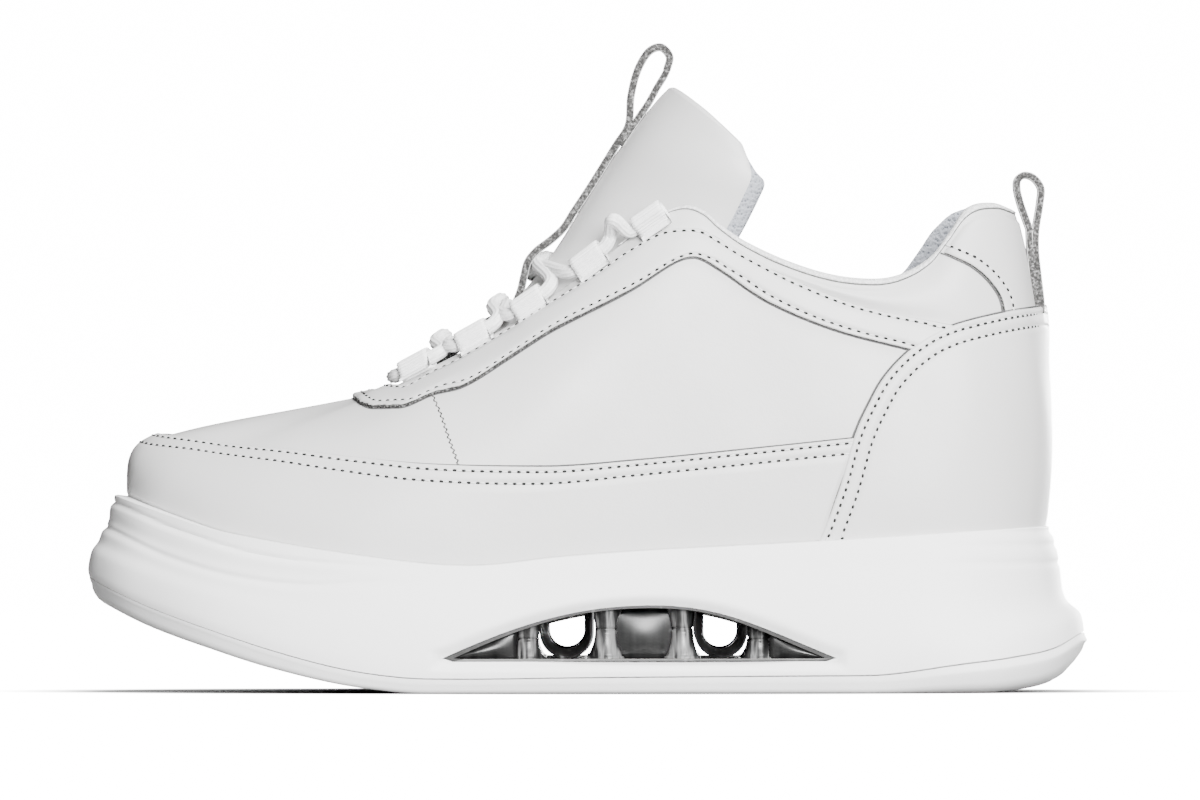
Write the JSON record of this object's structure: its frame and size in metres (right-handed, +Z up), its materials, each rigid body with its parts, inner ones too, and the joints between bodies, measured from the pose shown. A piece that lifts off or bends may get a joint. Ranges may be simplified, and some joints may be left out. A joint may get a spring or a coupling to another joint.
{
  "type": "platform sneaker",
  "caption": "Low-cut platform sneaker: thick flared sole with a windowed air cushion in its waist, laced leather upper with toe rand, heel counter, wide padded tongue and pull loops.",
  "frame": {"origin": "on the ground under the middle of the shoe's outline", "axes": "+Z up, toe towards -X, heel towards +X, outer side of the foot towards -Y"},
  "size_m": [0.29, 0.1122, 0.1878],
  "materials": {
    "outsole_rubber": "matt white rubber",
    "midsole_foam": "smooth white moulded foam",
    "smoky_cushion": "clear smoky plastic with a bright metallic film",
    "lining": "grey-blue spacer mesh",
    "white_leather": "smooth off-white nappa",
    "strap_leather": "off-white faces with raw grey edges",
    "webbing": "white ribbed webbing",
    "lace_cord": "white ribbed cord"
  },
  "bodies": {
    "root": {"outsole": "outsole_rubber", "midsole": "midsole_foam", "air_unit": "smoky_cushion", "insole": "lining", "upper": "white_leather", "toe_rand": "white_leather", "heel_counter": "white_leather", "eyestay_band": "white_leather", "tongue": "white_leather", "tongue_strap": "strap_leather", "heel_pull_tab": "strap_leather", "lace_loop_outer_1": "webbing", "lace_loop_outer_2": "webbing", "lace_loop_outer_3": "webbing", "lace_loop_outer_4": "webbing", "lace_loop_outer_5": "webbing", "lace_loop_inner_1": "webbing", "lace_loop_inner_2": "webbing", "lace_loop_inner_3": "webbing", "lace_loop_inner_4": "webbing", "lace_loop_inner_5": "webbing", "lace": "lace_cord"}
  },
  "joints": []
}
